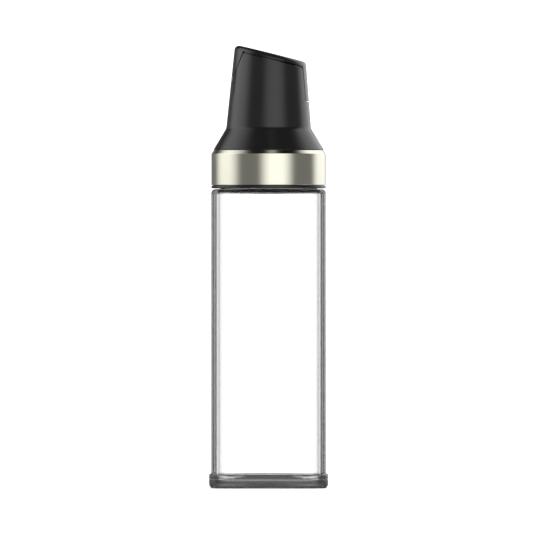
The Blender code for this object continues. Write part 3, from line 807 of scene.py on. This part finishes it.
def partingLine(width, frontWidth):
    # Along the top of the shell, round the corner and down the spout's front
    depth = lid["band"] + width / 2
    return [(cutReach, planeHeight(depth, cutReach)), frontCorner(depth, frontWidth / 2)]


def lidOutline(side):
    end = lipEnd - (1 + side) * lid["frontGap"] / 2
    return [
        *partingLine(side * gap, side * lid["frontGap"]),
        (frontCut(end, side * lid["frontGap"] / 2), end),
        (-cutReach, end),
        (-cutReach, high),
        (cutReach, high),
    ]


def skinOnly(tool, depth):
    # The part of a cutting shape that lies within a small depth of the tower's surface
    piece = makeObject("skin", tool)
    cut(piece, towerCore(depth, waistHeight - overrun))
    return meshOf(piece)


def partingGroove():
    width, frontWidth = groove["width"], groove["frontWidth"]
    upper = partingLine(-width, -frontWidth)
    lower = partingLine(width, frontWidth)
    end = frontFoot - gap
    outline = upper + [(frontCut(end, 0), end)] + lower[::-1]
    return skinOnly(rightThrough(outline), groove["depth"])


def tailGroove():
    return skinOnly(tailStrip(groove["tailWidth"], groove["tailEnd"], hinge["boss"]), groove["tailDepth"])


def tailStrip(sideGap, endGap, innerRadius):
    half = lid["tailWidth"] / 2 + sideGap
    end = tailEnd - endGap
    radius = lid["tailCorner"] + sideGap
    line = [(-half, topHeight, 0), (-half, end, radius), (half, end, radius), (half, topHeight, 0)]
    return prism(roundedLine(line, support=0), pinX - innerRadius, cutReach, "X")


def pinBar(radius, low, highEnd, edge=0, segments=counts["small"]):
    # A round bar on the hinge's axis
    bar = rod(radius, -highEnd, -low, segments, edge)
    bmesh.ops.rotate(bar, verts=bar.verts, matrix=Matrix.Rotation(math.pi / 2, 3, "X"))
    bmesh.ops.translate(bar, verts=bar.verts, vec=hingePoint)
    return bar


def pinBore():
    return pinBar(hinge["pinRadius"] + gap, -pinLength / 2 - gap, cutReach)


# Pourer shell

def shellCavity():
    landRadius = cap["collar"] + gap
    grooveFoot = shellBottom + gap
    landTop = shellBottom + head["landHeight"]
    slope = (head["coneBase"] - head["waistRadius"]) / head["coneHeight"]
    sideWall = head["wall"] * math.sqrt(1 + slope * slope)
    line = [
        (landRadius, shellBottom - overrun, 0),
        (landRadius, grooveFoot, 0),
        (landRadius + cap["bead"], grooveFoot + cap["beadHeight"] / 2, 0),
        (landRadius, grooveFoot + cap["beadHeight"], 0),
        (landRadius, landTop, 0),
        (head["coneBase"] - slope * head["landHeight"] - sideWall, landTop, 0),
        (towerRadius(waistHeight, head["wall"]), waistHeight, head["waistFillet"] + head["wall"]),
        (towerRadius(high, head["wall"]), high, 0),
    ]
    return turnedSolid(line, counts["head"])


def hingeBoss():
    reach = lid["tailWidth"] / 2 + gap + hinge["bossDepth"]
    boss = makeObject("boss", pinBar(hinge["boss"], -reach, reach))
    cut(boss, towerCore(head["wall"] / 2, waistHeight, lid["band"] + head["wall"] / 2), "INTERSECT")
    return meshOf(boss)


def rimRelief():
    # Room behind the hinge for the lid's rim, which swings round the pin
    radius = hinge["pinDepth"] - lid["band"] - gap / 2
    arc = []
    steps = counts["head arc"] * 2
    for step in range(steps + 1):
        angle = head["slope"] + (math.pi / 2 - head["slope"]) * step / steps
        arc.append((pinX + radius * math.sin(angle), pinZ + radius * math.cos(angle)))
    start = 2 * Vector(arc[0]) - Vector(arc[1])
    outline = [tuple(start)] + arc[1:] + [(cutReach, arc[-1][1]), (cutReach, high), (start.x, high)]
    return rightThrough(outline)


def cornerRelief():
    # A small round notch where the lid's parting line turns down the front
    x, z = frontCorner(lid["band"], 0)
    bar = pinBar(lid["relief"], -cutReach, cutReach)
    bmesh.ops.translate(bar, verts=bar.verts, vec=Vector((x, 0, z)) - hingePoint)
    return skinOnly(bar, lid["reliefDepth"])


def pourerShell():
    shell = makeObject("pourerShell", headForm())
    cut(shell, shellCavity())
    cut(shell, hingeBoss(), "UNION")
    cut(shell, rightThrough(lidOutline(1)))
    cut(shell, tailStrip(gap, lid["tailEndGap"], hinge["boss"] + gap))
    for relief in (tailGroove, partingGroove, rimRelief, cornerRelief, pinBore):
        cut(shell, relief())
    return shell


finishPiece(pourerShell(), blackPlastic, "head", "pourer_shell")


# Pour insert

insert = {
    "plugWall": 0.0013, "plugDepth": 0.008, "plugEdge": 0.00039, "ductGap": 0.0004, "ductWall": 0.0014,
    "rimGap": 0.002, "deckDrop": 0.006, "deck": 0.0014, "holeMargin": 0.00077, "hole": 0.0042,
    "returnHole": 0.0011, "returnSide": 0.0092, "vent": 0.0014, "ventWall": 0.001, "ventInset": 0.0106,
    "ventLength": 0.0065, "stopReach": 0.004, "stopHeight": 0.0015, "stopWidth": 0.009,
}
seal = {
    "radius": 0.0052, "room": 0.0016, "thickness": 0.0016, "noseDepth": 0.0016, "noseDraft": 0.0005,
    "collarWall": 0.0014, "collarHeight": 0.0016, "boss": 0.0026,
    "noseEdge": 0.0005, "topEdge": 0.0004, "edge": 0.0003, "rootEdge": 0.0002, "innerEdge": 0.0001,
}
deckDepth = lid["band"] + insert["deckDrop"]
holeX = frontCorner(deckDepth, insert["ductWall"])[0] + insert["holeMargin"] + insert["hole"]
ductInnerBack = holeX + seal["radius"] + seal["room"]
ductBack = ductInnerBack + insert["ductWall"]
ventX = glass["mouthRadius"] - insert["ventInset"]


def onDeck(x, y):
    return Matrix.Translation((x, y, planeHeight(deckDepth, x))) @ Matrix.Rotation(head["slope"], 4, "Y")


def deckRod(radius, x, y, low, highEnd):
    bar = rod(radius, low, highEnd)
    bmesh.ops.transform(bar, verts=bar.verts, matrix=onDeck(x, y))
    return bar


def ductPiece(inset, outline):
    piece = makeObject("duct", towerCore(inset, cap["bottom"]))
    throat = cap["throat"] - (inset - head["wall"])
    cut(piece, rod(throat, cap["bottom"], high + overrun, counts["head"]), "INTERSECT")
    cut(piece, rightThrough(outline), "INTERSECT")
    return meshOf(piece)


def ductOutline(back, low, topDepth, frontShift):
    return [
        (frontCut(low, frontShift), low),
        (back, low),
        (back, planeHeight(topDepth, back)),
        frontCorner(topDepth, frontShift),
    ]


def bowlOutline():
    return [
        (-cutReach, planeHeight(deckDepth, -cutReach)),
        (ductInnerBack, planeHeight(deckDepth, ductInnerBack)),
        (ductInnerBack, high),
        (-cutReach, high),
    ]


def turnedOpen(x, z):
    swing = Matrix.Rotation(hinge["openAngle"], 3, "Y")
    place = swing @ (Vector((x, 0, z)) - hingePoint) + hingePoint
    return place.x, place.z


def stopRib():
    corner = Vector(turnedOpen(boxFront, boxBottom))
    along = (Vector(turnedOpen(boxFront, boxBottom + weight["boxWall"])) - corner).normalized()
    face = corner + Vector((-along.y, along.x)) * gap
    back = ductBack - insert["ductWall"] / 2
    start = face + along * ((back - face.x) / along.x)
    tip = start + along * insert["stopReach"]
    outline = [tuple(start), tuple(tip), (back, tip.y + insert["stopHeight"])]
    return prism(outline, -insert["stopWidth"] / 2, insert["stopWidth"] / 2)


def ventRod(radius, low, highEnd):
    bar = rod(radius, low, highEnd)
    bmesh.ops.translate(bar, verts=bar.verts, vec=(ventX, 0, 0))
    return bar


def pourInsert():
    plugRadius = glass["mouthRadius"] - gap
    flangeRadius = cap["bore"] - gap
    plugBottom = flangeBottom - insert["plugDepth"]
    edge = insert["plugEdge"]
    plugLine = [
        (0, flangeTop, 0),
        (flangeRadius, flangeTop, edge),
        (flangeRadius, flangeBottom, edge),
        (plugRadius, flangeBottom, edge),
        (plugRadius, plugBottom, edge),
        (plugRadius - insert["plugWall"], plugBottom, edge),
        (plugRadius - insert["plugWall"], flangeBottom, edge),
        (0, flangeBottom, 0),
    ]
    outer = head["wall"] + insert["ductGap"]
    inner = outer + insert["ductWall"]
    flangeMiddle = (flangeBottom + flangeTop) / 2
    through = insert["deck"] * 2
    piece = makeObject("pourInsert", turnedSolid(plugLine, counts["head"], counts["fine arc"]))
    duct = ductOutline(ductBack, flangeMiddle, lid["band"] + insert["rimGap"], gap / 2)
    cut(piece, ductPiece(outer, duct), "UNION")
    channel = ductOutline(ductInnerBack, flangeBottom - gap, deckDepth + insert["deck"], insert["ductWall"])
    cut(piece, ductPiece(inner, channel))
    cut(piece, ductPiece(inner, bowlOutline()))
    cut(piece, deckRod(insert["hole"], holeX, 0, -through, through))
    returnX = ductInnerBack - 2 * insert["returnHole"]
    cut(piece, deckRod(insert["returnHole"], returnX, insert["returnSide"], -through, through))
    ventLow = flangeBottom - insert["ventLength"]
    cut(piece, ventRod(insert["vent"] + insert["ventWall"], ventLow, flangeMiddle), "UNION")
    cut(piece, ventRod(insert["vent"], ventLow - overrun, flangeTop + overrun))
    cut(piece, stopRib(), "UNION")
    return piece


finishPiece(pourInsert(), innerPlastic, "head", "pour_insert")
pin = pinBar(hinge["pinRadius"], -pinLength / 2, pinLength / 2, hinge["pinEdge"])
finishPiece(makeObject("hingePin", pin), brightSteel, "head", "hinge_pin")


# Lid with its seal, weight and cover

def block(xLow, xHigh, half, zLow, zHigh):
    return prism([(xLow, zLow), (xHigh, zLow), (xHigh, zHigh), (xLow, zHigh)], -half, half)


def lidInside(xLow, half, zLow, zHigh):
    piece = makeObject("inside", block(xLow, cutReach, half, zLow, zHigh))
    cut(piece, towerCore(head["wall"] / 2, waistHeight, lid["plate"] / 2), "INTERSECT")
    return meshOf(piece)


def flipLid():
    piece = makeObject("flipLid", rightThrough(lidOutline(-1)))
    cut(piece, partingGroove())
    # The strip fills the groove again, which stops at the tail
    cut(piece, tailStrip(0, 0, hinge["knuckle"]), "UNION")
    cut(piece, headForm(), "INTERSECT")
    cut(piece, towerCore(head["wall"], waistHeight, lid["plate"]))
    half = lid["tailWidth"] / 2
    cut(piece, pinBar(hinge["knuckle"], -half, half), "UNION")
    cut(piece, lidInside(pinX - hinge["knuckle"] / 2, half, pinZ, high), "UNION")
    cut(piece, lidInside(boxFront, boxHalf, boxBottom, boxTop), "UNION")
    bossEnd = gap + seal["thickness"] + gap
    bossRoot = deckDepth - lid["plate"] / 2
    cut(piece, deckRod(seal["boss"], holeX, 0, bossEnd, bossRoot), "UNION")
    wall = weight["boxWall"]
    cut(piece, block(boxFront - overrun, pocketBack, pocketWidth / 2, boxBottom + wall, boxTop - wall))
    cut(piece, pinBore())
    return piece


def lidSeal():
    low = gap
    top = low + seal["thickness"]
    inner = seal["boss"] + gap
    outer = inner + seal["collarWall"]
    nose = insert["hole"] - gap
    rim = top + seal["collarHeight"]
    line = [
        (0, -seal["noseDepth"], 0),
        (nose - seal["noseDraft"], -seal["noseDepth"], seal["noseEdge"]),
        (nose, low, seal["rootEdge"]),
        (seal["radius"], low, seal["edge"]),
        (seal["radius"], top, seal["topEdge"]),
        (outer, top, seal["edge"]),
        (outer, rim, seal["edge"]),
        (inner, rim, seal["rootEdge"]),
        (inner, top, seal["innerEdge"]),
        (0, top, 0),
    ]
    mesh = turnedSolid(line, counts["round"], counts["fine arc"])
    bmesh.ops.transform(mesh, verts=mesh.verts, matrix=onDeck(holeX, 0))
    return makeObject("lidSeal", mesh)


def counterWeight():
    half = weight["length"] / 2
    mesh = pinBar(weight["radius"], -half, half, weight["edge"], counts["round"])
    bmesh.ops.translate(mesh, verts=mesh.verts, vec=Vector((weightX, 0, weightZ)) - hingePoint)
    return makeObject("counterWeight", mesh)


def weightCover():
    halfHeight = pocketHeight / 2 - gap
    halfWidth = pocketWidth / 2 - gap
    mesh = block(boxFront, boxFront + weight["cover"], halfWidth, weightZ - halfHeight, weightZ + halfHeight)
    cover = makeObject("weightCover", mesh)
    bevel = cover.modifiers.new("soft edges", "BEVEL")
    bevel.width = weight["coverEdge"]
    bevel.segments = 2
    bevel.limit_method = "ANGLE"
    bevel.angle_limit = weight["coverAngle"]
    return cover


finishPiece(flipLid(), blackPlastic, "lid", "flip_lid")
finishPiece(lidSeal(), silicone, "lid", "lid_seal")
finishPiece(counterWeight(), brightSteel, "lid", "counterweight")
finishPiece(weightCover(), innerPlastic, "lid", "weight_cover")


# Floor, light and camera

studio = {
    "backdrop": 1.42, "glossy": 0.20, "overhead": 0.005, "dimFrom": 0.12, "dimTo": 0.42, "diffuse": 1.6,
    "bounces": 32, "wallFrom": 0.25, "wallTo": 0.50, "ceiling": 0.02,
    "floor": (0.90, 0.90, 0.90), "floorRoughness": 0.9, "floorGlow": 0.35, "floorReach": 0.5,
    "lens": 1000.0, "sensor": 36.0, "distance": 8.406, "aim": Vector((-0.00119, 0, 0.12565)),
    "lampAim": Vector((0, 0, 0.2)),
}
# Azimuth 0 is where the camera stands, and it grows to the camera's right
boxes = {
    "leftBox": {"azimuth": -95.5, "distance": 0.9, "middle": 0.60, "width": 1.86, "height": 1.80,
                "radiance": 1.62, "soft": 0.41},
    "frontBox": {"azimuth": 16, "distance": 1.0, "middle": 0.30, "width": 1.66, "height": 1.10,
                 "radiance": 1.29, "soft": 0.40},
    "backRightBox": {"azimuth": 133, "distance": 0.9, "middle": 0.60, "width": 1.78, "height": 1.80,
                     "radiance": 1.44, "soft": 0.36},
    "topBox": {"azimuth": 14, "distance": 0.36, "middle": 1.30, "width": 0.40, "height": 0.72,
               "radiance": 0.48, "soft": 0.45},
}


def paleFloor():
    mesh = bmesh.new()
    bmesh.ops.create_grid(mesh, x_segments=2, y_segments=2, size=studio["floorReach"])
    floor = makeObject("floor", mesh)
    material, shader = startMaterial("paleFloor")
    shader.inputs["Base Color"].default_value = (*studio["floor"], 1)
    shader.inputs["Roughness"].default_value = studio["floorRoughness"]
    shader.inputs["Specular IOR Level"].default_value = 0.0
    shader.inputs["Emission Color"].default_value = (1, 1, 1, 1)
    shader.inputs["Emission Strength"].default_value = studio["floorGlow"]
    floor.data.materials.append(material)
    floor.visible_glossy = False


def studioWorld():
    world = bpy.data.worlds.new("studio")
    bpy.context.scene.world = world
    world.use_nodes = True
    tree = world.node_tree
    path = tree.nodes.new("ShaderNodeLightPath").outputs
    dull = product(tree, path["Is Diffuse Ray"], studio["diffuse"] - studio["glossy"])
    up = splitPlace(tree, tree.nodes.new("ShaderNodeTexCoord").outputs["Generated"])[2]
    # Seen in gloss, the room is dim round about and almost black overhead
    ceiling = ramp(tree, up, studio["dimFrom"], studio["dimTo"], studio["glossy"], studio["overhead"])
    # and through the glass, the white walls end in a dark ceiling
    wall = ramp(tree, up, studio["wallFrom"], studio["wallTo"], studio["backdrop"], studio["ceiling"])
    through = product(tree, path["Is Transmission Ray"], wall)
    seen = product(tree, path["Is Camera Ray"], studio["backdrop"])
    base = mathNode(tree, "ADD", dull, ceiling)
    back = mathNode(tree, "MAXIMUM", seen, through)
    strength = mathNode(tree, "MAXIMUM", base, back)
    fill(tree, tree.nodes["Background"], {"Color": (1, 1, 1), "Strength": strength})


def softbox(name, box):
    data = bpy.data.lights.new(name, "AREA")
    data.shape = "RECTANGLE"
    data.size, data.size_y = box["width"], box["height"]
    data.energy = box["radiance"] * math.pi * box["width"] * box["height"]
    data.use_nodes = True
    tree = data.node_tree
    edges = []
    for across in splitPlace(tree, tree.nodes.new("ShaderNodeNewGeometry").outputs["Parametric"])[:2]:
        nearest = mathNode(tree, "MINIMUM", across, mathNode(tree, "SUBTRACT", 1, across))
        edges.append(ramp(tree, nearest, 0, box["soft"]))
    fill(tree, tree.nodes["Emission"], {"Strength": product(tree, *edges)})
    lamp = addObject(name, data)
    turn = math.radians(box["azimuth"])
    lamp.location = (box["distance"] * math.sin(turn), -box["distance"] * math.cos(turn), box["middle"])
    lamp.rotation_euler = (studio["lampAim"] - lamp.location).to_track_quat("-Z", "Y").to_euler()
    lamp.visible_camera = False
    lamp.visible_transmission = False
    lamp.visible_diffuse = False


def frontCamera():
    data = bpy.data.cameras.new("camera")
    data.lens = studio["lens"]
    data.sensor_width = studio["sensor"]
    camera = addObject("camera", data)
    camera.location = studio["aim"] + Vector((0, -studio["distance"], 0))
    camera.rotation_euler = (math.pi / 2, 0, 0)
    bpy.context.scene.camera = camera


paleFloor()
studioWorld()
for name, box in boxes.items():
    softbox(name, box)
frontCamera()
scene = bpy.context.scene
scene.view_settings.view_transform = "Standard"
scene.view_settings.look = "None"
scene.cycles.max_bounces = studio["bounces"]  # the glass leads light round many corners
scene.cycles.transmission_bounces = studio["bounces"]
scene.cycles.glossy_bounces = studio["bounces"]
print("stage, lights and camera are in place")
